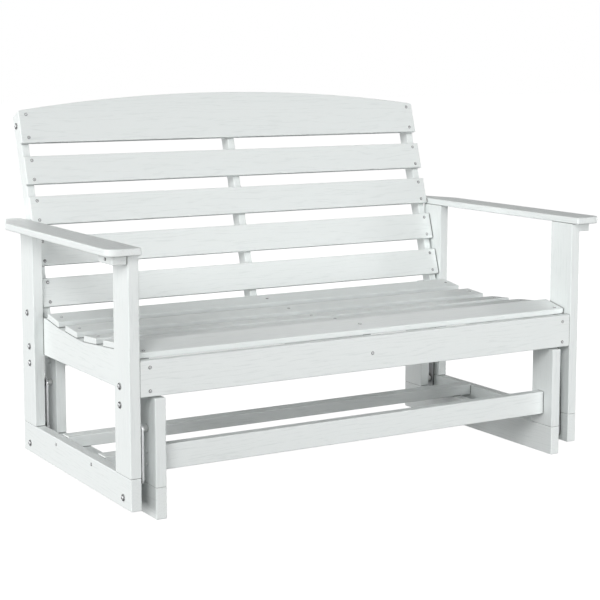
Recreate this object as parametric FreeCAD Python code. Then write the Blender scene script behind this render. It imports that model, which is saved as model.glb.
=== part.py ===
import FreeCAD, Part
import math
import os

os.makedirs("parts", exist_ok=True)

# A two-seat gliding bench. Its seat, back, arms and outer side frames make one swing frame, which
# hangs on four metal links from an inner base that stands on the ground.
# Millimetres at real size: X along the bench, Y from front to back, Z up from the ground. While it is
# built, Y is counted from the front face of the front posts and X from the middle.

# Timber stock
frame_board = 26.0
edge_round = 2.0

# Swing frame, side frames
frame_length = 1270.0
frame_depth = 658.0
post_depth = 83.0
side_rail_height = 74.0
side_rail_clearance = 25.0
cross_stretcher_width = 42.0
cross_stretcher_height = 29.0
cross_stretcher_bottom = 73.5
front_cross_stretcher_y = 222.0
rear_cross_stretcher_y = 441.0

# Base that stands on the ground
frame_gap = 33.0
foot_height = 73.0
foot_overrun = 5.0
base_post_depth = 81.0
base_post_top = 276.0
base_stretcher_bottom = 102.6
base_stretcher_height = 58.1
base_tie_height = 34.0
base_tie_drop = 2.0

# Swing links and their pivots
link_length = 115.0
link_width = 25.0
link_thickness = 5.0
upper_pivot_height = 201.0
link_outward_offset = 13.0
pivot_shank_radius = 4.0
sleeve_radius = 8.0
sleeve_neck_radius = 6.0
pivot_clearance = 0.05
link_side_clearance = 0.3
pivot_head_width = 13.0
pivot_head_height = 5.5
pivot_bite = 20.0
hanger_thickness = 4.0
hanger_width = 30.0

# Arms
arm_height = 615.0
arm_thickness = 17.0
arm_width = 82.0
arm_inner_inset = 1.0
arm_front_overhang = 20.7
arm_length = 740.7
arm_front_corner = 30.0
arm_small_corner = 5.0
arm_rear_corner = 9.0
arm_taper_length = 110.0
arm_taper_width = 41.0
arm_edge_round = 3.0
cleat_thickness = 21.0
cleat_width = 35.0
cleat_length = 75.0
cleat_front_setback = 4.0
dowel_radius = 5.0
dowel_in_arm = 10.0
dowel_in_post = 30.0
dowel_spread = 40.0
cleat_screw_bite = 20.0

# Seat
apron_thickness = 22.0
apron_height = 82.0
apron_bottom = 280.0
apron_setback = 1.0
seat_rail_thickness = 34.0
centre_rail_thickness = 23.0
seat_rail_setback = 16.0
seat_tail_height = 374.0
seat_slat_thickness = 15.0
seat_slat_width = 73.0
seat_slat_end_inset = 2.0
front_slat_rear_y = 72.0
rear_slat_setback = 107.0
seat_slat_rear_heights = (391.5, 376.2, 368.7, 375.9, 388.8)
seat_slat_tilts = (12.6, -4.5, -4.0, 4.4, 8.2)
rear_seat_rail_height = 60.0
rear_seat_rail_thickness = 26.0
rear_seat_rail_bottom = 282.0

# Back
back_lean = 17.06
back_setback = 203.1
back_slat_thickness = 15.0
back_slat_width = 73.0
back_slat_gap = 32.2
back_slat_clearance = 29.09
back_slat_end_inset = 1.5
top_slat_gap = 34.7
top_slat_end_height = 86.0
top_slat_rise = 41.4
top_slat_corner = 7.0
stile_thickness = 20.5
stile_depth = 36.0
stile_spacer = 4.5
stile_spacer_clearance = 2.5
stile_top_inset = 4.0
centre_stile_foot = 300.0
back_top_rail_height = 45.0
back_top_rail_rise = 52.5

# Fasteners: head radius, head height, shank radius, length
wood_screw = (4.0, 2.2, 2.0, 38.0)
slat_screw = (4.0, 2.2, 2.0, 27.0)
stretcher_screw = (4.0, 2.2, 2.0, 60.0)
long_screw = (5.5, 3.0, 3.0, 95.0)
frame_bolt = (8.0, 4.5, 3.0, 58.0)
frame_nut_height = 6.0
frame_nut_width = 10.0
screw_sink = 30.0
hole_clearance = 0.05
side_screw_inset = 24.0
bolt_low_height = 49.0
bolt_mid_height = 257.5
bolt_seat_height = 300.0
front_bolt_y = 53.0
rear_bolt_inset = 51.0
low_bolt_inset = 41.7
back_screw_spread = 50.0
top_screw_low = 13.9
top_screw_high = 74.7
apron_screw_low = 13.0
apron_screw_high = 66.0
front_slat_screw_back = 62.0
front_slat_middle_screw_back = 38.0
stile_screw_inset = 17.0
cross_screw_rise = 10.0
stile_foot_screw_rises = (14.0, 34.0)
tail_screw_rise = 10.0
end_screw_bite = 5.0
sink_clearance = 0.5

# Places that follow from the sizes above
post_outer = frame_length / 2
post_inner = post_outer - frame_board
base_outer = post_inner - frame_gap
base_inner = base_outer - frame_board
post_foot = side_rail_clearance + side_rail_height
post_top = arm_height - arm_thickness
front_post_y = (0.0, post_depth)
rear_post_y = (frame_depth - post_depth, frame_depth)
front_pivot_y = post_depth / 2
rear_pivot_y = frame_depth - post_depth / 2
lower_pivot_height = upper_pivot_height - link_length
link_inner = base_outer + link_outward_offset
link_outer = link_inner + link_thickness
apron_rear = apron_setback + apron_thickness
seat_rail_inner = post_inner - seat_rail_thickness
seat_screw_x = post_inner - side_screw_inset
centre_rail_x = (-centre_rail_thickness / 2, centre_rail_thickness / 2)
stile_outer = post_inner - stile_spacer
stile_inner = stile_outer - stile_thickness
stile_screw_x = stile_outer - stile_screw_inset
seat_slat_end = post_inner - seat_slat_end_inset
front_slat_rear = apron_rear + front_slat_rear_y
seat_slat_pitch = (frame_depth - rear_slat_setback - front_slat_rear) / 4
back_slat_end = post_inner - back_slat_end_inset
back_plane_y = frame_depth - back_setback
lean_sine = math.sin(math.radians(back_lean))
lean_cosine = math.cos(math.radians(back_lean))
back_first_slat = seat_tail_height / lean_cosine + back_slat_clearance
back_slat_pitch = back_slat_width + back_slat_gap
top_slat_bottom = back_first_slat + 3 * back_slat_pitch + back_slat_width + top_slat_gap
rear_bolt_y = frame_depth - rear_bolt_inset

nodes = {}


def vector(x, y, z):
    return FreeCAD.Vector(x, y, z)


def board(x, y, z):
    """A straight board between (low, high) pairs, with every edge eased."""
    box = Part.makeBox(x[1] - x[0], y[1] - y[0], z[1] - z[0], vector(x[0], y[0], z[0]))
    return box.makeFillet(edge_round, box.Edges)


def side_outline(points, x):
    """A board cut to an outline of (Y, Z) points, with its thickness along X."""
    corners = [vector(x[0], y, z) for y, z in points]
    face = Part.Face(Part.makePolygon(corners + corners[:1]))
    return face.extrude(vector(x[1] - x[0], 0, 0))


def mirrored(shape):
    return shape.mirror(vector(0, 0, 0), vector(1, 0, 0))


def pair(name, right_shape):
    """Adds a piece on the right side and its mirror image on the left."""
    nodes[name + "_right"] = right_shape
    nodes[name + "_left"] = mirrored(right_shape)


def screw(point, direction, kind):
    """A domed screw or bolt whose head rests at the point, with its shank along the direction."""
    head_radius, head_height, shank_radius, length = kind
    dome_radius = (head_radius ** 2 + head_height ** 2) / (2 * head_height)
    half_angle = math.asin(head_radius / dome_radius) / 2
    sag = dome_radius * (1 - math.cos(half_angle))
    crown = vector(dome_radius * math.sin(half_angle), 0, head_height - sag)
    profile = [
        Part.Arc(vector(0, 0, head_height), crown, vector(head_radius, 0, 0)).toShape(),
        Part.makeLine(vector(head_radius, 0, 0), vector(shank_radius, 0, 0)),
        Part.makeLine(vector(shank_radius, 0, 0), vector(shank_radius, 0, -length)),
        Part.makeLine(vector(shank_radius, 0, -length), vector(0, 0, -length)),
        Part.makeLine(vector(0, 0, -length), vector(0, 0, head_height)),
    ]
    solid = Part.Solid(Part.Face(Part.Wire(profile)).revolve(vector(0, 0, 0), vector(0, 0, 1), 360))
    turn = FreeCAD.Rotation(vector(0, 0, -1), direction)
    solid.Placement = FreeCAD.Placement(point, turn)
    return solid


def screw_hole(point, direction, kind):
    return Part.makeCylinder(kind[2] + hole_clearance, kind[3] + hole_clearance, point, direction)


def both_sides(screws):
    """Repeats the screws of the right side on the left."""
    flip = [(vector(-p.x, p.y, p.z), vector(-d.x, d.y, d.z), kind) for p, d, kind in screws]
    return screws + flip


def drilled(shape, screws):
    """The piece with a hole for each screw."""
    return shape.cut([screw_hole(*one) for one in screws])


def screw_group(screws):
    return Part.makeCompound([screw(*one) for one in screws])


def tube(outer_radius, inner_radius, x, y, z):
    """A ring along X between a (low, high) pair."""
    start = vector(x[0], y, z)
    along = vector(1, 0, 0)
    outer = Part.makeCylinder(outer_radius, x[1] - x[0], start, along)
    return outer.cut(Part.makeCylinder(inner_radius, x[1] - x[0], start, along))


def hexagon(width, x, y, z):
    """A six-sided block along X, measured across its flats."""
    corner = width / math.sqrt(3)
    angles = [math.radians(60 * i) for i in range(7)]
    rim = [vector(x[0], y + corner * math.cos(a), z + corner * math.sin(a)) for a in angles]
    return Part.Face(Part.makePolygon(rim)).extrude(vector(x[1] - x[0], 0, 0))


def hex_nut(width, bore_radius, x, y, z):
    bore = Part.makeCylinder(bore_radius, x[1] - x[0], vector(x[0], y, z), vector(1, 0, 0))
    return hexagon(width, x, y, z).cut(bore)


def leaned(shape):
    """Tips a piece of the upright back into its lean. Upright, its slats' fronts lie on Y = 0."""
    placed = shape.copy()
    placed.rotate(vector(0, 0, 0), vector(1, 0, 0), -back_lean)
    placed.translate(vector(0, back_plane_y, 0))
    return placed


def lean_point(x, depth, height):
    """Where a point of the upright back lies once the back is tipped."""
    lean = math.radians(back_lean)
    y = back_plane_y + height * math.sin(lean) + depth * math.cos(lean)
    return vector(x, y, height * math.cos(lean) - depth * math.sin(lean))


# Base: two feet, four short posts, a stretcher in front and a tie behind
base_front_y = (-foot_overrun, base_post_depth - foot_overrun)
base_rear_y = (frame_depth + foot_overrun - base_post_depth, frame_depth + foot_overrun)
base_x = (base_inner, base_outer)
base_middle = (base_inner + base_outer) / 2
stretcher_y = (front_pivot_y - frame_board / 2, front_pivot_y + frame_board / 2)
base_tie_middle = (base_rear_y[0] + base_rear_y[1]) / 2
base_tie_y = (base_tie_middle - frame_board / 2, base_tie_middle + frame_board / 2)
stretcher_z = (base_stretcher_bottom, base_stretcher_bottom + base_stretcher_height)
tie_top = base_post_top - base_tie_drop
tie_z = (tie_top - base_tie_height, tie_top)

foot_screws = []
for post_y in (base_front_y, base_rear_y):
    for share in (0.25, 0.75):
        y = post_y[0] + share * (post_y[1] - post_y[0])
        foot_screws.append((vector(base_middle, y, screw_sink), vector(0, 0, 1), long_screw))
foot_screws = both_sides(foot_screws)

base_screws = []
for y, z in ((front_pivot_y, stretcher_z), (base_tie_middle, tie_z)):
    for share in (0.25, 0.75):
        height = z[0] + share * (z[1] - z[0])
        base_screws.append((vector(base_outer, y, height), vector(-1, 0, 0), stretcher_screw))
base_screws = both_sides(base_screws)

pivot_bore = pivot_shank_radius + hole_clearance
along_bench = vector(1, 0, 0)
pivot_bores = []
for y in (front_pivot_y, rear_pivot_y):
    start = vector(base_outer - pivot_bite, y, upper_pivot_height)
    pivot_bores.append(Part.makeCylinder(pivot_bore, pivot_bite, start, along_bench))
sink_radius = long_screw[0] + sink_clearance


def sink_holes(screws):
    """Wide holes from below that take the heads of the long screws."""
    mouths = [p - d * screw_sink for p, d, kind in screws]
    return [Part.makeCylinder(sink_radius, screw_sink, mouth) for mouth in mouths]


base_foot = board(base_x, (-foot_overrun, frame_depth + foot_overrun), (0.0, foot_height))
pair("base_foot", drilled(base_foot, foot_screws).cut(sink_holes(foot_screws)))
for name, post_y in (("base_post_front", base_front_y), ("base_post_rear", base_rear_y)):
    post = board(base_x, post_y, (foot_height, base_post_top))
    pair(name, drilled(post, foot_screws + base_screws).cut(pivot_bores))
between_posts = (-base_inner, base_inner)
nodes["base_front_stretcher"] = drilled(board(between_posts, stretcher_y, stretcher_z), base_screws)
nodes["base_rear_tie"] = drilled(board(between_posts, base_tie_y, tie_z), base_screws)
nodes["base_foot_screws"] = screw_group(foot_screws)
nodes["base_frame_screws"] = screw_group(base_screws)

# Pivots: a bolt driven into the post, through a stepped sleeve whose neck carries the link
neck_x = (link_inner - link_side_clearance, link_outer + link_side_clearance)


def stepped_sleeve(shoulder, neck, y, z):
    """A nylon sleeve with a wide spacer part and a narrow neck for the link."""
    wide = tube(sleeve_radius, pivot_shank_radius, shoulder, y, z)
    narrow = tube(sleeve_neck_radius, pivot_shank_radius, neck, y, z)
    return wide.fuse(narrow).removeSplitter()


def pivot_bolt(head_x, shank_x, y, z):
    """A bolt along X, with a six-sided head over head_x and a plain shank over shank_x."""
    head = hexagon(pivot_head_width, head_x, y, z)
    start = vector(shank_x[0], y, z)
    shank = Part.makeCylinder(pivot_shank_radius, shank_x[1] - shank_x[0], start, along_bench)
    return head.fuse(shank).removeSplitter()


upper_head_x = (neck_x[1], neck_x[1] + pivot_head_height)
upper_shank_x = (base_outer - pivot_bite, neck_x[1])
lower_head_x = (neck_x[0] - pivot_head_height, neck_x[0])
lower_shank_x = (neck_x[0], post_inner + pivot_bite)
upper_bolts, upper_sleeves, lower_bolts, lower_sleeves = [], [], [], []
for y in (front_pivot_y, rear_pivot_y):
    upper_bolts.append(pivot_bolt(upper_head_x, upper_shank_x, y, upper_pivot_height))
    upper_sleeves.append(stepped_sleeve((base_outer, neck_x[0]), neck_x, y, upper_pivot_height))
    lower_bolts.append(pivot_bolt(lower_head_x, lower_shank_x, y, lower_pivot_height))
    lower_sleeves.append(
        stepped_sleeve((neck_x[1], post_inner - hanger_thickness), neck_x, y, lower_pivot_height))


def four_corners(right_pieces):
    return Part.makeCompound(right_pieces + [mirrored(one) for one in right_pieces])


nodes["upper_pivot_bolts"] = four_corners(upper_bolts)
nodes["upper_pivot_sleeves"] = four_corners(upper_sleeves)
nodes["lower_pivot_bolts"] = four_corners(lower_bolts)
nodes["lower_pivot_sleeves"] = four_corners(lower_sleeves)


def flat_bar(x, low, high, width, holes):
    """A flat metal bar along X thickness with round ends about two (Y, Z) points, and round holes."""
    along = vector(0, high[0] - low[0], high[1] - low[1])
    across = vector(1, 0, 0).cross(along).normalize() * (width / 2)
    cap = along.normalize() * (width / 2)
    bottom = vector(x[0], low[0], low[1])
    top = vector(x[0], high[0], high[1])
    outline = Part.Wire([
        Part.makeLine(bottom + across, top + across),
        Part.Arc(top + across, top + cap, top - across).toShape(),
        Part.makeLine(top - across, bottom - across),
        Part.Arc(bottom - across, bottom - cap, bottom + across).toShape(),
    ])
    bar = Part.Face(outline).extrude(vector(x[1] - x[0], 0, 0))
    for y, z, radius in holes:
        bar = bar.cut(Part.makeCylinder(radius, x[1] - x[0], vector(x[0], y, z), vector(1, 0, 0)))
    return bar


link_bore = sleeve_neck_radius + pivot_clearance
for name, y in (("link_front", front_pivot_y), ("link_rear", rear_pivot_y)):
    holes = ((y, upper_pivot_height, link_bore), (y, lower_pivot_height, link_bore))
    low, high = (y, lower_pivot_height), (y, upper_pivot_height)
    pair(name, flat_bar((link_inner, link_outer), low, high, link_width, holes))

# Bolts with domed heads on the outer faces of the side frames
through_bolt_length = frame_board + hanger_thickness + frame_nut_height
through_bolt = frame_bolt[:3] + (through_bolt_length,)
stile_bolt_length = frame_board + stile_spacer + stile_thickness - end_screw_bite
stile_bolt = frame_bolt[:3] + (stile_bolt_length,)
inward = vector(-1, 0, 0)
stile_middle = back_slat_thickness + stile_depth / 2
stile_bolt_depth = back_slat_thickness + stile_depth - sleeve_radius
top_rail_middle = top_slat_bottom + back_top_rail_rise
bolt_stile_height = seat_tail_height + sleeve_radius + stile_spacer_clearance
stile_bolt_rise = (bolt_stile_height + stile_bolt_depth * lean_sine) / lean_cosine
stile_bolt_y = lean_point(0, stile_bolt_depth, stile_bolt_rise).y

seat_bolt_points = [vector(post_outer, y, bolt_seat_height) for y in (front_bolt_y, rear_bolt_y)]
seat_bolts = [(point, inward, frame_bolt) for point in seat_bolt_points]
hanger_ends = (
    ((low_bolt_inset, bolt_low_height), (front_bolt_y, bolt_mid_height)),
    ((frame_depth - low_bolt_inset, bolt_low_height), (rear_bolt_y, bolt_mid_height)),
)
hanger_bolts = [(vector(post_outer, y, z), inward, through_bolt) for ends in hanger_ends for y, z in ends]
stile_bolts = [(vector(post_outer, stile_bolt_y, bolt_stile_height), inward, stile_bolt)]
top_point = lean_point(stile_outer, stile_middle, top_rail_middle)
top_bolts = [(top_point, inward, frame_bolt)]
seat_bolts, hanger_bolts = both_sides(seat_bolts), both_sides(hanger_bolts)
stile_bolts, top_bolts = both_sides(stile_bolts), both_sides(top_bolts)
nodes["frame_bolts"] = screw_group(seat_bolts + hanger_bolts + stile_bolts + top_bolts)

hanger_x = (post_inner - hanger_thickness, post_inner)
hanger_plates, hanger_nuts = [], []
for ends, pivot_y in zip(hanger_ends, (front_pivot_y, rear_pivot_y)):
    holes = [(y, z, frame_bolt[2] + hole_clearance) for y, z in ends]
    holes.append((pivot_y, lower_pivot_height, pivot_bore))
    hanger_plates.append(flat_bar(hanger_x, ends[0], ends[1], hanger_width, holes))
    for y, z in ends:
        nut_x = (hanger_x[0] - frame_nut_height, hanger_x[0])
        hanger_nuts.append(hex_nut(frame_nut_width, frame_bolt[2], nut_x, y, z))
nodes["hanger_plates"] = four_corners(hanger_plates)
nodes["frame_nuts"] = four_corners(hanger_nuts)
spacer_x = (stile_outer, post_inner)
bolt_bore = frame_bolt[2] + hole_clearance
stile_spacer_ring = tube(sleeve_radius, bolt_bore, spacer_x, stile_bolt_y, bolt_stile_height)
nodes["stile_spacers"] = four_corners([stile_spacer_ring])

# Outer side frames: rails, posts, arms and the stretchers that tie them together
post_x = (post_inner, post_outer)
post_middle = (post_inner + post_outer) / 2
post_screws = []
for post_y in (front_post_y, rear_post_y):
    for share in (0.2, 0.8):
        y = post_y[0] + share * (post_y[1] - post_y[0])
        point = vector(post_middle, y, side_rail_clearance + screw_sink)
        post_screws.append((point, vector(0, 0, 1), long_screw))
post_screws = both_sides(post_screws)
nodes["post_screws"] = screw_group(post_screws)

cross_screw_height = cross_stretcher_bottom + cross_screw_rise
cross_screws = both_sides([
    (vector(post_outer, y, cross_screw_height), inward, stretcher_screw)
    for y in (front_cross_stretcher_y, rear_cross_stretcher_y)
])
lower_bores = []
for y in (front_pivot_y, rear_pivot_y):
    start = vector(post_inner, y, lower_pivot_height)
    lower_bores.append(Part.makeCylinder(pivot_bore, pivot_bite, start, along_bench))
side_rail = board(post_x, (0.0, frame_depth), (side_rail_clearance, post_foot))
side_rail = drilled(side_rail, post_screws + cross_screws + hanger_bolts)
pair("side_rail", side_rail.cut(sink_holes(post_screws) + lower_bores))

cross_z = (cross_stretcher_bottom, cross_stretcher_bottom + cross_stretcher_height)
for name, y in (("front", front_cross_stretcher_y), ("rear", rear_cross_stretcher_y)):
    cross_y = (y - cross_stretcher_width / 2, y + cross_stretcher_width / 2)
    stretcher = board((-post_inner, post_inner), cross_y, cross_z)
    nodes["cross_stretcher_" + name] = drilled(stretcher, cross_screws)

arm_dowels, dowel_bores = [], []
for post_y in (front_post_y, rear_post_y):
    for side in (-1, 1):
        y = (post_y[0] + post_y[1] + side * dowel_spread) / 2
        foot = vector(post_middle, y, post_top - dowel_in_post)
        length = dowel_in_post + dowel_in_arm
        arm_dowels.append(Part.makeCylinder(dowel_radius, length, foot))
        dowel_bores.append(Part.makeCylinder(dowel_radius + hole_clearance, length, foot))
nodes["arm_dowels"] = four_corners(arm_dowels)

cleat_x = (post_outer, post_outer + cleat_width)
cleat_y = (cleat_front_setback, cleat_front_setback + cleat_length)
cleat_z = (post_top - cleat_thickness, post_top)
cleat_middle = post_outer + cleat_width / 2
cleat_screw = wood_screw[:3] + (cleat_thickness + arm_thickness - end_screw_bite,)
cleat_screws = []
for share in (0.25, 0.75):
    y = cleat_y[0] + share * cleat_length
    cleat_screws.append((vector(cleat_middle, y, cleat_z[0]), vector(0, 0, 1), cleat_screw))
cleat_side_screw = wood_screw[:3] + (cleat_width + cleat_screw_bite,)
cleat_side_point = vector(cleat_x[1], (cleat_y[0] + cleat_y[1]) / 2, (cleat_z[0] + cleat_z[1]) / 2)
cleat_screws.append((cleat_side_point, inward, cleat_side_screw))
cleat_screws = both_sides(cleat_screws)
pair("arm_cleat", drilled(board(cleat_x, cleat_y, cleat_z), cleat_screws))

for name, post_y in (("post_front", front_post_y), ("post_rear", rear_post_y)):
    post = board(post_x, post_y, (post_foot, post_top))
    post = drilled(post, post_screws + seat_bolts + hanger_bolts + stile_bolts + cleat_screws)
    pair(name, post.cut(dowel_bores))

arm_inner = post_inner + arm_inner_inset
arm_outer = arm_inner + arm_width
arm_front = -arm_front_overhang
arm_rear = arm_front + arm_length
arm_corners = [
    (arm_inner, arm_front, arm_small_corner),
    (arm_outer, arm_front, arm_front_corner),
    (arm_outer, arm_rear - arm_taper_length, arm_front_corner),
    (arm_outer - arm_taper_width, arm_rear, arm_rear_corner),
    (arm_inner, arm_rear, arm_small_corner),
]


def rounded_outline(corners, z):
    """A closed wire through (X, Y, radius) corners, each rounded by an arc."""
    edges = []
    count = len(corners)
    ends = []
    for i in range(count):
        before = vector(corners[i - 1][0], corners[i - 1][1], z)
        here = vector(corners[i][0], corners[i][1], z)
        after = vector(corners[(i + 1) % count][0], corners[(i + 1) % count][1], z)
        back, ahead = (before - here).normalize(), (after - here).normalize()
        half = back.getAngle(ahead) / 2
        cut = corners[i][2] / math.tan(half)
        centre = here + (back + ahead).normalize() * (corners[i][2] / math.sin(half))
        middle = centre + (here - centre).normalize() * corners[i][2]
        ends.append((here + back * cut, middle, here + ahead * cut))
    for i in range(count):
        start, middle, end = ends[i]
        edges.append(Part.Arc(start, middle, end).toShape())
        edges.append(Part.makeLine(end, ends[(i + 1) % count][0]))
    return Part.Wire(edges)


armrest = Part.Face(rounded_outline(arm_corners, post_top)).extrude(vector(0, 0, arm_thickness))
armrest = armrest.makeFillet(arm_edge_round, [e for e in armrest.Edges if e.BoundBox.ZLength < 0.01])
pair("armrest", drilled(armrest, cleat_screws).cut(dowel_bores))

# Seat: five slats on three rails, with an apron in front and a rail behind
slat_middles = []
slat_tops = []
for i in range(5):
    rear_y = front_slat_rear + i * seat_slat_pitch
    tilt = math.radians(seat_slat_tilts[i])
    slope = vector(0, math.cos(tilt), math.sin(tilt))
    slat_tops.append((vector(0, rear_y, seat_slat_rear_heights[i]), slope))


def slat_point(index, back_from_rear, below_top):
    """A (Y, Z) point of a seat slat's section, measured from the rear edge of its top."""
    rear, slope = slat_tops[index]
    down = vector(0, slope.z, -slope.y)
    place = rear - slope * back_from_rear + down * below_top
    return place.y, place.z


seat_slat_screws = []
for i in range(5):
    rear, slope = slat_tops[i]
    down = vector(0, slope.z, -slope.y)
    end_back = front_slat_screw_back if i == 0 else seat_slat_width / 2
    middle_back = front_slat_middle_screw_back if i == 0 else seat_slat_width / 2
    for x, back in ((-seat_screw_x, end_back), (0.0, middle_back), (seat_screw_x, end_back)):
        y, z = slat_point(i, back, 0.0)
        seat_slat_screws.append((vector(x, y, z), down, slat_screw))

apron_x = (-post_inner, post_inner)
apron_screws = []
for x, heights in (
    (-seat_screw_x, (apron_screw_low, apron_screw_high)),
    (0.0, (apron_height / 2,)),
    (seat_screw_x, (apron_screw_low, apron_screw_high)),
):
    for height in heights:
        point = vector(x, apron_setback, apron_bottom + height)
        apron_screws.append((point, vector(0, 1, 0), stretcher_screw))
apron = board(apron_x, (apron_setback, apron_rear), (apron_bottom, apron_bottom + apron_height))
nodes["front_apron"] = drilled(apron, apron_screws)

seat_rail_rear = frame_depth - seat_rail_setback
rear_rail_y = (seat_rail_rear - rear_seat_rail_thickness, seat_rail_rear)
rear_rail_z = (rear_seat_rail_bottom, rear_seat_rail_bottom + rear_seat_rail_height)
rear_rail_middle = (rear_rail_y[0] + rear_rail_y[1]) / 2
seat_frame_screws = []
for share in (0.25, 0.75):
    height = rear_rail_z[0] + share * rear_seat_rail_height
    point = vector(post_inner - stretcher_screw[1] - sink_clearance, rear_rail_middle, height)
    seat_frame_screws.append((point, inward, stretcher_screw))
seat_frame_screws = both_sides(seat_frame_screws)
tail_point = vector(0, rear_rail_y[1], apron_bottom + tail_screw_rise)
seat_frame_screws.append((tail_point, vector(0, -1, 0), stretcher_screw))

seat_underside = []
for i in range(5):
    seat_underside.append(slat_point(i, seat_slat_width, seat_slat_thickness))
    seat_underside.append(slat_point(i, 0.0, seat_slat_thickness))
rail_top_front = (apron_rear, seat_underside[0][1])


def seat_rail(x, rear_y, tail_height):
    """A rail on edge whose top carries the undersides of the seat slats."""
    outline = [(apron_rear, apron_bottom), rail_top_front] + seat_underside
    outline.append((seat_underside[-1][0] + edge_round, tail_height))
    outline += [(rear_y, tail_height), (rear_y, apron_bottom)]
    rail = side_outline(outline, x)
    bottom_edges = [e for e in rail.Edges if e.BoundBox.ZMax < apron_bottom + 0.01]
    return rail.makeFillet(edge_round, [e for e in bottom_edges if e.BoundBox.XLength < 0.01])


side_seat_rail = seat_rail((seat_rail_inner, post_inner), rear_rail_y[1], seat_tail_height)
pocket_depth = stretcher_screw[1] + sink_clearance
pocket_radius = stretcher_screw[0] + sink_clearance
side_screws = [one for one in seat_frame_screws if one[1].x != 0]
head_pockets = [Part.makeCylinder(pocket_radius, pocket_depth, p, d * -1) for p, d, kind in side_screws]
rail_screws = seat_slat_screws + apron_screws + seat_frame_screws
pair("seat_rail", drilled(side_seat_rail, rail_screws + seat_bolts).cut(head_pockets))

# Back: five slats on three stiles, with a rail behind the arched top slat
stile_top = top_slat_bottom + top_slat_end_height - stile_top_inset
stile_y = (back_slat_thickness, back_slat_thickness + stile_depth)
top_rail_z = (top_rail_middle - back_top_rail_height / 2, top_rail_middle + back_top_rail_height / 2)
back_screw_places = []
for i in range(4):
    middle = back_first_slat + back_slat_width / 2 + i * back_slat_pitch
    for side in (-1, 1):
        height = middle + side * back_screw_spread / 2
        back_screw_places.append((stile_screw_x, height))
for rise in (top_screw_low, top_screw_high):
    back_screw_places.append((stile_screw_x, top_slat_bottom + rise))
into_back = lean_point(0, 1, 0) - lean_point(0, 0, 0)
back_screw_points = [lean_point(x, 0.0, height) for x, height in back_screw_places]
back_screws = both_sides([(point, into_back, wood_screw) for point in back_screw_points])

rear_slat_screw = wood_screw[:3] + (stile_depth + back_slat_thickness - end_screw_bite,)
centre_stile_x = (-stile_thickness / 2, stile_thickness / 2)
centre_screws = []
for i in range(4):
    height = back_first_slat + back_slat_width / 2 + i * back_slat_pitch
    point = lean_point(0, stile_y[1], height)
    centre_screws.append((point, into_back * -1, rear_slat_screw))
top_rail_screws = [
    (lean_point(x, stile_y[1], top_rail_middle), into_back * -1, rear_slat_screw)
    for x in (-post_inner / 2, 0, post_inner / 2)
]
stile_foot_screws = []
for screw_rise in stile_foot_screw_rises:
    rise = (centre_stile_foot + screw_rise + stile_y[1] * lean_sine) / lean_cosine
    stile_foot_screws.append((lean_point(0, stile_y[1], rise), into_back * -1, stretcher_screw))


def leaning_block(x, depth, low, high, foot_height):
    """A block that leans against the backs of the slats, with its foot cut level."""
    start = vector(x[0], stile_y[0], low)
    shape = leaned(Part.makeBox(x[1] - x[0], depth, high - low, start))
    below_foot = Part.makeBox(x[1] - x[0], frame_depth * 2, foot_height, vector(x[0], 0, 0))
    return shape.cut(below_foot)


def stile(x, low, high, foot_height):
    shape = leaning_block(x, stile_depth, low, high, foot_height)
    long_edges = [e for e in shape.Edges if e.BoundBox.XLength < 0.01]
    return shape.makeFillet(edge_round, [e for e in long_edges if e.Length > stile_depth * 2])


rise_to_foot = seat_tail_height / lean_cosine
side_stile = stile((stile_inner, stile_outer), rise_to_foot, stile_top, seat_tail_height)
pair("back_stile", drilled(side_stile, back_screws + stile_bolts + top_bolts))
centre_rise = centre_stile_foot / lean_cosine
centre_stile = stile(centre_stile_x, centre_rise, top_rail_z[0], centre_stile_foot)
nodes["back_stile_centre"] = drilled(centre_stile, centre_screws + stile_foot_screws)
stile_seat = leaning_block(centre_rail_x, frame_depth, centre_rise, top_rail_z[0], centre_stile_foot)
centre_rail = seat_rail(centre_rail_x, rear_rail_y[0], seat_tail_height).cut(stile_seat)
nodes["seat_rail_centre"] = drilled(centre_rail, rail_screws + stile_foot_screws)
rear_seat_rail = board((-seat_rail_inner, seat_rail_inner), rear_rail_y, rear_rail_z)
nodes["rear_seat_rail"] = drilled(rear_seat_rail, seat_frame_screws)

top_rail = leaned(board((-stile_inner, stile_inner), stile_y, top_rail_z))
nodes["back_top_rail"] = drilled(top_rail, top_bolts + top_rail_screws)

slat_names = ("seat_slat_front", "seat_slat_2", "seat_slat_3", "seat_slat_4", "seat_slat_rear")
for i, name in enumerate(slat_names):
    width, thickness = (-seat_slat_width, 0.0), (-seat_slat_thickness, 0.0)
    slat = board((-seat_slat_end, seat_slat_end), width, thickness)
    slat.rotate(vector(0, 0, 0), vector(1, 0, 0), seat_slat_tilts[i])
    slat.translate(slat_tops[i][0])
    nodes[name] = drilled(slat, seat_slat_screws)

back_x = (-back_slat_end, back_slat_end)
all_back_screws = back_screws + centre_screws + top_rail_screws
for i, name in enumerate(("back_slat_bottom", "back_slat_2", "back_slat_3", "back_slat_4")):
    low = back_first_slat + i * back_slat_pitch
    slat = leaned(board(back_x, (0.0, back_slat_thickness), (low, low + back_slat_width)))
    nodes[name] = drilled(slat, all_back_screws)

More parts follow.
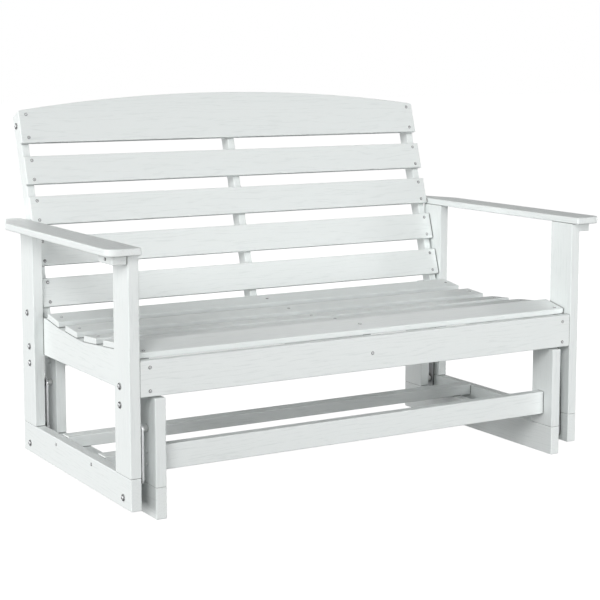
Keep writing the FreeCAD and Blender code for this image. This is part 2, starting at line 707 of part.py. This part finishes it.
top_end = top_slat_bottom + top_slat_end_height
arch = Part.Wire([
    Part.makeLine(vector(back_x[0], 0, top_slat_bottom), vector(back_x[1], 0, top_slat_bottom)),
    Part.makeLine(vector(back_x[1], 0, top_slat_bottom), vector(back_x[1], 0, top_end)),
    Part.Arc(vector(back_x[1], 0, top_end), vector(0, 0, top_end + top_slat_rise),
             vector(back_x[0], 0, top_end)).toShape(),
    Part.makeLine(vector(back_x[0], 0, top_end), vector(back_x[0], 0, top_slat_bottom)),
])
top_slat = Part.Face(arch).extrude(vector(0, back_slat_thickness, 0))
corners = [e for e in top_slat.Edges if e.BoundBox.XLength < 0.01 and e.BoundBox.ZMin > top_end - 0.01]
top_slat = top_slat.makeFillet(top_slat_corner, corners)
top_slat = top_slat.makeFillet(edge_round, top_slat.Edges)
nodes["back_slat_top"] = drilled(leaned(top_slat), all_back_screws)

nodes["back_slat_screws"] = screw_group(back_screws)
nodes["seat_slat_screws"] = screw_group(seat_slat_screws)
frame_screws = apron_screws + cross_screws + cleat_screws
frame_screws += seat_frame_screws + centre_screws + top_rail_screws + stile_foot_screws
nodes["frame_screws"] = screw_group(frame_screws)

# The origin lies under the middle of the whole bench, at the ground
reach = Part.makeCompound(list(nodes.values())).optimalBoundingBox(False, False)
middle_y = (reach.YMin + reach.YMax) / 2
for name, shape in nodes.items():
    shape.translate(vector(0, -middle_y, 0))
    shape.exportStep(os.path.join("parts", name + ".step"))
print("pieces", len(nodes), "solids", sum(len(shape.Solids) for shape in nodes.values()))
print("overall", reach.XLength, reach.YLength, reach.ZLength, "middle Y", middle_y)
print("front and rear pivots Y", front_pivot_y - middle_y, rear_pivot_y - middle_y)
print("upper and lower pivots Z", upper_pivot_height, lower_pivot_height)
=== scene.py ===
import itertools
import math

import bmesh
import bpy
from mathutils import Matrix, Vector


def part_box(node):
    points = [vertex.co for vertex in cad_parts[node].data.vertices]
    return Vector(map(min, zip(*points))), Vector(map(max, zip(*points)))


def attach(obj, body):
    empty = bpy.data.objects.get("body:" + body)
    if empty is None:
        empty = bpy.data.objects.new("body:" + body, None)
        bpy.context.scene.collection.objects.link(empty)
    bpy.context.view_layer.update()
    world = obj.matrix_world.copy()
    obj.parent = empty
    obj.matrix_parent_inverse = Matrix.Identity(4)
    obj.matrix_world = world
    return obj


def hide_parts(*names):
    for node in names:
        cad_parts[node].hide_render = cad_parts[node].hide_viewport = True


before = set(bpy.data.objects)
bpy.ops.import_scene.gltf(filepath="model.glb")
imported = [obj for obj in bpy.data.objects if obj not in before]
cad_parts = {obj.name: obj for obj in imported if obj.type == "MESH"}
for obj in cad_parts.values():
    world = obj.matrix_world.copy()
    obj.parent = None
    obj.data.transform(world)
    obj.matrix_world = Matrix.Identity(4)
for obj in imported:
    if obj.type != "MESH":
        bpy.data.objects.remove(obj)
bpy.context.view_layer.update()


# Viewpoint. The bench is seen from its front left, a little above the arms, from about four metres
# away, through a long lens, so that its two ends stay almost parallel.
view_place = (-2.0030, -3.4223, 1.0224)
view_turn = -30.595
view_tip = 7.167
lens_length = 92.857
lens_shift = -0.08
farthest_seen = 50.0
camera = bpy.data.cameras.new("camera")
camera.sensor_width = 36.0
camera.lens = lens_length
camera.shift_y = lens_shift
camera.clip_end = farthest_seen
camera_object = bpy.data.objects.new("camera", camera)
bpy.context.scene.collection.objects.link(camera_object)
camera_object.location = view_place
camera_object.rotation_euler = (math.radians(90.0 - view_tip), 0.0, math.radians(view_turn))
bpy.context.scene.camera = camera_object


# Studio. A plain white floor and surround, a glow from low down and from the rear left, one broad
# soft key light from the front left, and six large dim lamps. Nothing here belongs to the bench.
white = (1.0, 1.0, 1.0, 1.0)
rear_left = (-0.707, 0.707, 0.0)
glow_softness = 0.05
floor_reach = 30.0
floor_grey = (0.3, 0.3, 0.3, 1.0)
floor_glow = 0.93
lamp_middle = Vector((0.0, 0.0, 0.4))
lamp_distance = 5.0
lamp_width = 2.5
key_softness = math.radians(30.0)
# Each lamp's name, kind, degrees round the bench from its right, degrees above level, and strength.
lamps = (
    ("key_light", "SUN", 225.0, 30.0, 1.61),
    ("left_lamp_low", "AREA", 180.0, 5.0, 109.0),
    ("left_lamp_high", "AREA", 180.0, 30.0, 15.0),
    ("front_lamp_low", "AREA", 284.0, 5.0, 116.0),
    ("rear_right_lamp", "AREA", 45.0, 45.0, 38.0),
    ("rear_lamp_low", "AREA", 90.0, 5.0, 60.0),
    ("right_lamp_low", "AREA", 0.0, 5.0, 45.0),
)


def feed(tree, node, inputs):
    """Gives each named socket of a node the output of another node, or a value of its own."""
    for name, source in inputs.items():
        if isinstance(source, bpy.types.NodeSocket):
            tree.links.new(source, node.inputs[name])
        else:
            node.inputs[name].default_value = source


def add_node(tree, kind, inputs, **settings):
    """A new node, with its settings made before its sockets are fed."""
    node = tree.nodes.new(kind)
    for setting, value in settings.items():
        setattr(node, setting, value)
    feed(tree, node, inputs)
    return node


def combine(tree, operation, first, second):
    """One step of arithmetic with two outputs or values."""
    step = add_node(tree, "ShaderNodeMath", {0: first, 1: second}, operation=operation)
    return step.outputs["Value"]


def spread(tree, level, between, onto):
    """Stretches what lies between two levels of a pattern onto a range of its own."""
    inputs = {"Value": level, "From Min": between[0], "From Max": between[1],
              "To Min": onto[0], "To Max": onto[1]}
    return add_node(tree, "ShaderNodeMapRange", inputs).outputs["Result"]


def new_finish(name):
    """An empty material, with its node tree and its shader."""
    finish = bpy.data.materials.new(name)
    finish.use_nodes = True
    return finish, finish.node_tree, finish.node_tree.nodes["Principled BSDF"]


def finished_object(name, shape, finish):
    """Turns a bmesh into an object with one finish."""
    mesh = bpy.data.meshes.new(name)
    shape.to_mesh(mesh)
    shape.free()
    mesh.materials.append(finish)
    made = bpy.data.objects.new(name, mesh)
    bpy.context.scene.collection.objects.link(made)
    return made


bpy.context.scene.view_settings.view_transform = "Standard"
bpy.context.scene.view_settings.look = "None"
surround = bpy.data.worlds.new("surround")
bpy.context.scene.world = surround
surround.use_nodes = True
sky = surround.node_tree
sky_direction = add_node(sky, "ShaderNodeTexCoord", {}).outputs["Generated"]
sky_height = add_node(sky, "ShaderNodeSeparateXYZ", {"Vector": sky_direction}).outputs["Z"]


def sky_glow(low, high, strength):
    """A band of light between two heights, with soft edges."""
    low_edge = (low - glow_softness, low + glow_softness)
    high_edge = (high - glow_softness, high + glow_softness)
    rising = spread(sky, sky_height, low_edge, (0.0, strength))
    falling = spread(sky, sky_height, high_edge, (1.0, 0.0))
    return combine(sky, "MULTIPLY", rising, falling)


facing = add_node(sky, "ShaderNodeVectorMath", {0: sky_direction, 1: rear_left},
                  operation="DOT_PRODUCT")
rear_left_share = combine(sky, "MAXIMUM", facing.outputs["Value"], 0.0)
wall_glow = combine(sky, "MULTIPLY", sky_glow(0.0, 0.6, strength=0.7), rear_left_share)
whole_glow = combine(sky, "ADD", sky_glow(-0.35, 0.0, strength=0.31), wall_glow)
glow = sky.nodes["Background"]
feed(sky, glow, {"Color": white, "Strength": whole_glow})

# Past the bench the camera sees plain white. The glow only lights the bench.
backdrop = add_node(sky, "ShaderNodeBackground", {"Color": white})
seen_directly = add_node(sky, "ShaderNodeLightPath", {}).outputs["Is Camera Ray"]
glow_or_backdrop = add_node(sky, "ShaderNodeMixShader", {
    "Fac": seen_directly, 1: glow.outputs["Background"], 2: backdrop.outputs["Background"]})
feed(sky, sky.nodes["World Output"], {"Surface": glow_or_backdrop.outputs["Shader"]})

floor_shape = bmesh.new()
bmesh.ops.create_grid(floor_shape, x_segments=1, y_segments=1, size=floor_reach)
floor_finish, floor_tree, floor_shader = new_finish("white_floor")
feed(floor_tree, floor_shader, {
    "Base Color": floor_grey, "Roughness": 0.9, "Specular IOR Level": 0.0,
    "Emission Color": white, "Emission Strength": floor_glow})
floor = finished_object("floor", floor_shape, floor_finish)
floor.visible_diffuse = False
floor.visible_glossy = False
floor.visible_shadow = False

for name, kind, around, above, strength in lamps:
    lamp = bpy.data.lights.new(name, kind)
    lamp.energy = strength
    if kind == "SUN":
        lamp.angle = key_softness
    else:
        lamp.shape = "DISK"
        lamp.size = lamp_width
    lamp_object = bpy.data.objects.new(name, lamp)
    bpy.context.scene.collection.objects.link(lamp_object)
    turn, rise = math.radians(around), math.radians(above)
    level = math.cos(rise)
    towards = Vector((math.cos(turn) * level, math.sin(turn) * level, math.sin(rise)))
    lamp_object.location = lamp_middle + towards * lamp_distance
    lamp_object.rotation_euler = towards.to_track_quat("Z", "Y").to_euler()


# Base. Two foot boards on edge and four short posts of solid softwood, sawn, eased along the edges,
# brushed so that the grain stands out, and sprayed with one coat of cool white satin paint. Each
# board is cut from its own place in a trunk, so no two grains are alike.
paint_white = (0.855, 0.888, 0.878, 1.0)
paint_hollow = (0.725, 0.765, 0.755, 1.0)
paint_cloud = (0.965, 0.972, 0.975, 1.0)
grain_along_x = (0.0, 0.0, 0.0)
grain_along_y = (0.0, 0.0, 90.0)
grain_along_z = (0.0, -90.0, 0.0)
board_numbers = itertools.count(1)
# Where the heart of a trunk lies from the middle of its board, and how much that, the trunk's roll
# (radians) and its lean (degrees) differ from board to board, in uneven steps round the circle.
heart_offset = (0.0, 0.03, -0.035)
heart_wander = (0.01, 0.02, 0.02)
trunk_roll = 0.3
trunk_lean = 1.2
wander_step, rise_step, lean_step = 2.4, 1.7, 3.1


def mapped(tree, place, inputs, **settings):
    """Moves, turns or draws out the places that a pattern is laid over."""
    node = add_node(tree, "ShaderNodeMapping", {"Vector": place, **inputs}, **settings)
    return node.outputs["Vector"]


def stretched_noise(tree, place, scale, detail, roughness):
    """Noise drawn out by a different scale along each axis of the piece."""
    noise = add_node(tree, "ShaderNodeTexNoise", {
        "Vector": mapped(tree, place, {"Scale": scale}),
        "Scale": 1.0, "Detail": detail, "Roughness": roughness})
    return noise.outputs["Fac"]


def laid_over(tree, share, under, over, blend="MIX"):
    """Lays one colour over another by a share between 0 and 1."""
    node = add_node(tree, "ShaderNodeMix", {"Factor": share, "A": under, "B": over},
                    data_type="RGBA", blend_type=blend)
    return node.outputs["Result"]


def shadowed(tree, colour, gap, between, darkest):
    """Paints shade into a colour in the narrow gaps where this piece meets its neighbours."""
    nearness = add_node(tree, "ShaderNodeAmbientOcclusion", {"Distance": gap}, samples=8)
    # Painted shade: the colour is darkened where ambient occlusion finds neighbours close by.
    painted_gap_shade = spread(tree, nearness.outputs["AO"], between, (darkest, 1.0))
    return laid_over(tree, 1.0, colour, painted_gap_shade, "MULTIPLY")


def relief(tree, height, strength, distance, invert=False):
    """Raises a surface by the height of a pattern, or sinks it where inverted."""
    inputs = {"Height": height, "Strength": strength, "Distance": distance}
    return add_node(tree, "ShaderNodeBump", inputs, invert=invert).outputs["Normal"]


def painted_wood(name, heart, turn):
    """Satin paint over brushed softwood, whose grain shows as hollows along the trunk."""
    finish, tree, shader = new_finish(name)
    place = add_node(tree, "ShaderNodeTexCoord", {}).outputs["Object"]
    trunk = mapped(tree, place, {"Location": heart, "Rotation": turn}, vector_type="TEXTURE")

    # Growth rings wander along the trunk, and the brush has hollowed the soft wood between them.
    drawn = mapped(tree, trunk, {"Scale": (0.10, 1.0, 1.0)})
    rings = add_node(tree, "ShaderNodeTexWave", {
        "Vector": drawn, "Scale": 42.0, "Distortion": 14.0,
        "Detail": 2.5, "Detail Scale": 0.9, "Detail Roughness": 0.5,
    }, wave_type="RINGS", rings_direction="X", wave_profile="SIN")
    ring_line = spread(tree, rings.outputs["Fac"], (0.62, 0.98), (0.0, 1.0))

    # Strokes break the rings into short dashes, and pores lie between them.
    strokes = stretched_noise(tree, trunk, (22.0, 420.0, 420.0), detail=3.0, roughness=0.62)
    stroke = spread(tree, strokes, (0.44, 0.64), (0.0, 1.0))
    pores = stretched_noise(tree, trunk, (70.0, 1500.0, 1500.0), detail=2.0, roughness=0.5)
    pore = spread(tree, pores, (0.5, 0.72), (0.0, 0.35))
    groove = combine(tree, "MULTIPLY", ring_line, stroke)
    hollow = combine(tree, "MAXIMUM", groove, pore)

    # The paint is thinner and greyer in the hollows, and clouded a little from place to place.
    thin = spread(tree, hollow, (0.0, 1.0), (0.0, 0.55))
    colour = laid_over(tree, thin, paint_white, paint_hollow)
    cloud = stretched_noise(tree, drawn, (9.0, 9.0, 9.0), detail=3.0, roughness=0.5)
    colour = laid_over(tree, cloud, colour, paint_cloud, "MULTIPLY")
    # The base colour carries painted shade in the narrow gaps where the board meets its neighbours.
    feed(tree, shader, {
        "Base Color": shadowed(tree, colour, gap=0.0045, between=(0.25, 0.9), darkest=0.27),
        "Roughness": spread(tree, hollow, (0.0, 1.0), (0.42, 0.62)),
        "Normal": relief(tree, hollow, strength=0.35, distance=0.0004, invert=True)})
    return finish


def coat(name, finish):
    """Gives a CAD piece a finish."""
    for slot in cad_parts[name].material_slots:
        slot.material = finish


def paint_boards(names, grain):
    """Gives each board a finish of its own, with its grain along the board."""
    for name in names:
        number = next(board_numbers)
        low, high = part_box(name)
        wander, rise = math.sin(number * wander_step), math.cos(number * rise_step)
        lean = math.cos(number * lean_step)
        heart = (low + high) / 2 + Vector([
            offset + most * share
            for offset, most, share in zip(heart_offset, heart_wander, (wander, wander, rise))])
        turn = [math.radians(angle) for angle in grain]
        turn[0] += trunk_roll * wander
        turn[1] += math.radians(trunk_lean * lean)
        turn[2] += math.radians(trunk_lean * wander)
        coat(name, painted_wood(name + "_paint", heart, turn))


paint_boards(("base_foot_left", "base_foot_right"), grain_along_y)
paint_boards(("base_post_front_left", "base_post_front_right",
              "base_post_rear_left", "base_post_rear_right"), grain_along_z)


# Base stretcher and rear tie. Two boards of the same painted softwood that keep the two ends of the
# base apart, screwed on through the posts.
paint_boards(("base_front_stretcher", "base_rear_tie"), grain_along_x)


# Base screws. Long steel screws, zinc plated, driven up through the foot boards and in through the
# posts, with their heads sunk or hidden beside the links.
zinc_grey = (0.92, 0.93, 0.94, 1.0)
dulled = 0.85


def darker(colour, share):
    """A colour with only a share of its brightness left."""
    return [part * share for part in colour[:3]] + [1.0]


def plated_steel(name, grey, metallic, roughness, bump, gap):
    """Zinc plated steel: a faint spangle, fine drawing marks, and painted shade where it meets the
    wood.
    """
    finish, tree, shader = new_finish(name)
    place = add_node(tree, "ShaderNodeTexCoord", {}).outputs["Object"]
    spangle = add_node(tree, "ShaderNodeTexVoronoi", {"Vector": place, "Scale": 420.0})
    marks = stretched_noise(tree, place, (900.0, 900.0, 260.0), detail=4.0, roughness=0.6)
    patches = stretched_noise(tree, place, (45.0, 45.0, 45.0), detail=3.0, roughness=0.5)
    blotch = combine(tree, "MULTIPLY", marks, patches)
    colour = laid_over(tree, blotch, grey, darker(grey, dulled))
    # The base colour carries painted shade round each head and where the metal meets its
    # neighbours.
    feed(tree, shader, {
        "Base Color": shadowed(tree, colour, gap, between=(0.5, 0.95), darkest=0.03),
        "Metallic": metallic,
        "Roughness": spread(tree, marks, (0.25, 0.75), roughness),
        "Normal": relief(tree, spangle.outputs["Distance"], bump, distance=0.0001)})
    return finish


screw_finish = plated_steel(
    "zinc_screws", zinc_grey, metallic=0.2, roughness=(0.4, 0.55), bump=0.1, gap=0.0018)
coat("base_foot_screws", screw_finish)
coat("base_frame_screws", screw_finish)


# Upper pivots. A hexagon-head bolt is driven into each base post from its outer side, and carries a
# white nylon sleeve whose narrow neck holds the link clear of the post.
bolt_grey = (0.78, 0.79, 0.80, 1.0)
nylon_white = (0.76, 0.77, 0.76, 1.0)
nylon_shade = 0.93
pivot_shank = 0.004
shank_chamfer = 0.001
washer_face = 0.0006
head_chamfer = 0.0014
crown_dish = 0.0004
head_sides = 24
cross_arm = 0.24
merge_gap = 1e-6
rim_gap = 0.0002


def moulded_nylon(name):
    """Nylon with the soft sheen and the faint flow marks of the mould."""
    finish, tree, shader = new_finish(name)
    place = add_node(tree, "ShaderNodeTexCoord", {}).outputs["Object"]
    flow = stretched_noise(tree, place, (160.0, 160.0, 160.0), detail=3.0, roughness=0.5)
    colour = laid_over(tree, flow, nylon_white, darker(nylon_white, nylon_shade))
    # The base colour carries painted shade where the sleeve meets the link and the posts.
    feed(tree, shader, {
        "Base Color": shadowed(tree, colour, gap=0.003, between=(0.25, 0.9), darkest=0.3),
        "Roughness": spread(tree, flow, (0.3, 0.7), (0.38, 0.52)),
        "Normal": relief(tree, flow, strength=0.08, distance=0.0002)})
    return finish


def separate_solids(name):
    """The separate solids of a CAD piece, each as a list of points."""
    copy = bmesh.new()
    copy.from_mesh(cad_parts[name].data)
    bmesh.ops.remove_doubles(copy, verts=copy.verts, dist=merge_gap)
    left = dict.fromkeys(copy.verts)
    solids = []
    while left:
        reached = [left.popitem()[0]]
        for point in reached:
            for edge in point.link_edges:
                other = edge.other_vert(point)
                if other in left:
                    del left[other]
                    reached.append(other)
        solids.append([point.co.copy() for point in reached])
    copy.free()
    return solids


def reach_at(angle, radius, outline="round"):
    """How far a head reaches in one direction: round, hexagon across its flats, or cross."""
    if outline == "hexagon":
        return radius / math.cos(angle % math.radians(60.0) - math.radians(30.0))
    if outline == "cross":
        off_arm = min(abs(math.sin(angle)), abs(math.cos(angle)))
        return min(radius, radius * cross_arm / max(off_arm, 0.01))
    return radius


def rim_edges(rim):
    """The edges between the points of one ring."""
    edges = [edge for point in rim for edge in point.link_edges if edge.other_vert(point) in rim]
    return list(dict.fromkeys(edges))


def build_up(shape, seat, outward, rings):
    """Grows a solid outwards from its seat, from ring to ring, and closes both ends. A ring is its
    height over the seat, its radius, and its outline where that isn't round."""
    rim = bmesh.ops.create_circle(shape, cap_ends=True, segments=head_sides, radius=1.0)["verts"]
    points = []
    for index, (height, radius, *outline) in enumerate(rings):
        if index:
            grown = bmesh.ops.extrude_edge_only(shape, edges=rim_edges(rim))
            rim = [part for part in grown["geom"] if isinstance(part, bmesh.types.BMVert)]
        for point in rim:
            angle = math.atan2(point.co.y, point.co.x)
            reach = reach_at(angle, radius, *outline)
            point.co = Vector((math.cos(angle) * reach, math.sin(angle) * reach, height))
        points += rim
    bmesh.ops.contextual_create(shape, geom=rim_edges(rim))
    turn = outward.to_track_quat("Z", "Y").to_matrix().to_4x4()
    bmesh.ops.transform(shape, matrix=Matrix.Translation(seat) @ turn, verts=points)


def fit_fasteners(name, body, replaced, fastener, finish):
    """Makes one piece of a group of fasteners, which rides on a body and stands for the CAD's."""
    shape = bmesh.new()
    for seat, outward, rings in fastener(replaced):
        build_up(shape, seat, outward, rings)
    bmesh.ops.recalc_face_normals(shape, faces=shape.faces)
    piece = finished_object(name, shape, finish)
    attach(piece, body)
    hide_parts(replaced)


def hexagon_places(name):
    """The bolts or nuts of a CAD piece, which lie along X: the axis of each, half its width across
    flats, and the two ends of its hexagon and of the whole."""
    places = []
    for points in separate_solids(name):
        all_x, all_y, all_z = zip(*points)
        y, z = (min(all_y) + max(all_y)) / 2, (min(all_z) + max(all_z)) / 2
        reach = [math.hypot(point.y - y, point.z - z) for point in points]
        corner = max(reach)
        hexagon_x = [x for x, distance in zip(all_x, reach) if distance > corner - rim_gap]
        half_width = corner * math.cos(math.radians(30.0))
        hexagon_ends = (min(hexagon_x), max(hexagon_x))
        places.append((y, z, half_width, hexagon_ends, (min(all_x), max(all_x))))
    return places


def pivot_bolts(name):
    """Hexagon heads with a washer face, a chamfer and a dished crown, on a plain shank."""
    for y, z, half_width, (head_low, head_high), (low, high) in hexagon_places(name):
        if head_high > high - rim_gap:
            outward, seat, tip = 1.0, head_low, low
        else:
            outward, seat, tip = -1.0, head_high, high
        height, length = head_high - head_low, abs(tip - seat)
        end, washer, crown = pivot_shank * 0.75, half_width * 1.02, half_width * 0.93
        dish_rim, dish_floor = half_width * 0.62, half_width * 0.58
        yield Vector((seat, y, z)), Vector((outward, 0.0, 0.0)), (
            (-length, end), (-length + shank_chamfer, pivot_shank), (0.0, pivot_shank),
            (0.0, washer), (washer_face, washer),
            (washer_face, half_width, "hexagon"), (height - head_chamfer, half_width, "hexagon"),
            (height, crown), (height, dish_rim), (height - crown_dish, dish_floor))


bolt_finish = plated_steel(
    "zinc_bolts", bolt_grey, metallic=0.45, roughness=(0.36, 0.5), bump=0.1, gap=0.003)
nylon_finish = moulded_nylon("moulded_nylon")
fit_fasteners("upper_pivot_hex_bolts", "base", "upper_pivot_bolts", pivot_bolts, bolt_finish)
coat("upper_pivot_sleeves", nylon_finish)


# Links. Four flat steel bars with round ends and two holes, punched, tumbled and zinc plated. Each
# turns on the neck of an upper sleeve, and carries the swing frame by the neck of a lower one.
link_grey = (0.82, 0.83, 0.84, 1.0)
link_finish = plated_steel(
    "bright_zinc_links", link_grey, metallic=0.45, roughness=(0.32, 0.44), bump=0.03, gap=0.012)
for corner in ("front_left", "front_right", "rear_left", "rear_right"):
    coat("link_" + corner, link_finish)


# Lower pivots. The same bolts and nylon sleeves, driven outwards into the side rails through the
# hanger plates, so that the swing frame hangs on the links.
fit_fasteners("lower_pivot_hex_bolts", "swing_frame", "lower_pivot_bolts", pivot_bolts, bolt_finish)
coat("lower_pivot_sleeves", nylon_finish)


# Side frames. A rail on edge and two posts at each end, of the same painted boards, with two long
# zinc plated screws driven up through the rail into the foot of each post.
paint_boards(("side_rail_left", "side_rail_right"), grain_along_y)
paint_boards(("post_front_left", "post_front_right", "post_rear_left", "post_rear_right"),
             grain_along_z)
coat("post_screws", screw_finish)


# Hanger plates. Zinc plated flat bars across the joint of each post and its rail, behind the lower
# pivots, held by the frame bolts and their hexagon nuts.
nut_bore = 0.003
nut_seat_chamfer = 0.0008
nut_top_chamfer = 0.0012
bore_chamfer = 0.0005
bore_floor = 0.0006


def hexagon_nuts(name):
    """Chamfered nuts with a blind bore, which face the middle of the bench."""
    for y, z, half_width, _, (low, high) in hexagon_places(name):
        outward, seat = (-1.0, high) if low > 0 else (1.0, low)
        height = high - low
        yield Vector((seat, y, z)), Vector((outward, 0.0, 0.0)), (
            (0.0, half_width * 0.95), (nut_seat_chamfer, half_width, "hexagon"),
            (height - nut_top_chamfer, half_width, "hexagon"), (height, half_width * 0.93),
            (height, nut_bore * 1.12), (height - bore_chamfer, nut_bore), (bore_floor, nut_bore))


coat("hanger_plates", link_finish)
fit_fasteners("hexagon_nuts", "swing_frame", "frame_nuts", hexagon_nuts, bolt_finish)


# Cross stretchers. Two battens of the same painted softwood, laid flat between the side rails, low
# over the ground, and screwed on through the rails.
paint_boards(("cross_stretcher_front", "cross_stretcher_rear"), grain_along_x)


# Seat frame. Three rails on edge with dished tops, the outer two bolted to the posts, an apron in
# front and a rail behind, all of the same painted boards.
paint_boards(("front_apron", "rear_seat_rail"), grain_along_x)
paint_boards(("seat_rail_left", "seat_rail_right", "seat_rail_centre"), grain_along_y)


# Seat slats. Five boards that follow the dished tops of the rails, each held by three cross-recess
# screws, which sit in small cup washers.
tip_length = 0.008
recess_depth = 0.0012


def screw_places(name):
    """A CAD piece's domed screws: where each head rests, which way is out, the head's radius and
    height, and the shank's radius and length."""
    places = []
    for points in separate_solids(name):
        middle = sum(points, Vector()) / len(points)
        end = max(points, key=lambda point: (point - middle).length)
        tip_points = [point for point in points if (point - end).length < tip_length]
        tip = sum(tip_points, Vector()) / len(tip_points)
        crown = max(points, key=lambda point: (point - tip).length)
        outward = (crown - tip).normalized()
        steps = [point - tip for point in points]
        reach = [(step.cross(outward).length, step.dot(outward)) for step in steps]
        radius = max(reach)[0]
        rim = [along for distance, along in reach if distance > radius - rim_gap]
        length = sum(rim) / len(rim)
        shank = max((point - tip).cross(outward).length for point in tip_points)
        height = (crown - tip).length - length
        places.append((tip + outward * length, outward, radius, height, shank, length))
    return places


def cup_washer(radius, height):
    """The rings of a rolled rim, and of the groove between it and the head that it holds."""
    return ((0.0, radius * 0.96), (height * 0.12, radius), (height * 0.36, radius * 0.98),
            (height * 0.42, radius * 0.96), (height * 0.36, radius * 0.92),
            (height * 0.04, radius * 0.88), (height * 0.04, radius * 0.68))


def cross_recess_screws(name):
    """Pan heads with a cross recess, each in its cup washer, on a pointed shank."""
    for seat, outward, radius, height, shank, length in screw_places(name):
        yield seat, outward, (
            (-length, shank * 0.12), (-length + shank * 2.4, shank), (0.0, shank),
            *cup_washer(radius, height),
            (height * 0.72, radius * 0.66), (height * 0.94, radius * 0.56),
            (height, radius * 0.44, "cross"), (height - recess_depth, radius * 0.34, "cross"))


paint_boards(("seat_slat_front", "seat_slat_2", "seat_slat_3", "seat_slat_4", "seat_slat_rear"),
             grain_along_x)
fit_fasteners("seat_slat_cross_screws", "swing_frame", "seat_slat_screws",
              cross_recess_screws, screw_finish)


# Back. Two side stiles and a middle one, a rail behind the top, four straight slats and an arched
# one, each held by two screws at either end.
paint_boards(("back_stile_left", "back_stile_right", "back_stile_centre"), grain_along_z)
paint_boards(("back_top_rail",), grain_along_x)
paint_boards(("back_slat_bottom", "back_slat_2", "back_slat_3", "back_slat_4", "back_slat_top"),
             grain_along_x)
fit_fasteners("back_slat_cross_screws", "swing_frame", "back_slat_screws",
              cross_recess_screws, screw_finish)


# Frame screws. The same screws hold the apron, the cross stretchers, the cleats under the arms and
# the rear seat rail, and from behind the middle stile and the rail of the back.
fit_fasteners("frame_cross_screws", "swing_frame", "frame_screws",
              cross_recess_screws, screw_finish)


# Frame bolts. Zinc plated button-head bolts with a hexagon socket, each in a cup washer, on the
# outer faces of the side frames and the stiles, and a nylon spacer ring between each stile and its
# post.
end_chamfer = 0.0008
socket_depth = 0.0026


def button_head_bolts(name):
    """Round heads with a hexagon socket, each in its cup washer, on a plain shank."""
    for seat, outward, radius, height, shank, length in screw_places(name):
        socket = radius * 0.26
        yield seat, outward, (
            (-length, shank * 0.8), (-length + end_chamfer, shank), (0.0, shank),
            *cup_washer(radius, height),
            (height * 0.4, radius * 0.64), (height * 0.72, radius * 0.58),
            (height * 0.93, radius * 0.45), (height, radius * 0.34),
            (height, socket * 1.08, "hexagon"), (height - socket_depth, socket, "hexagon"))


fit_fasteners("button_head_bolts", "swing_frame", "frame_bolts", button_head_bolts, bolt_finish)
coat("stile_spacers", nylon_finish)


# Arms. A flat board with rounded corners on each side frame, a cleat under its front, and two bare
# beech dowels in the head of each post.
beech_light = (0.74, 0.58, 0.40, 1.0)
beech_dark = (0.56, 0.40, 0.25, 1.0)


def bare_beech(name):
    """Turned beech with short dark flecks along the dowel."""
    finish, tree, shader = new_finish(name)
    place = add_node(tree, "ShaderNodeTexCoord", {}).outputs["Object"]
    flecks = stretched_noise(tree, place, (700.0, 700.0, 60.0), detail=4.0, roughness=0.6)
    feed(tree, shader, {
        "Base Color": laid_over(tree, flecks, beech_light, beech_dark),
        "Roughness": spread(tree, flecks, (0.3, 0.7), (0.55, 0.75))})
    return finish


paint_boards(("armrest_left", "armrest_right", "arm_cleat_left", "arm_cleat_right"), grain_along_y)
coat("arm_dowels", bare_beech("bare_beech_dowels"))
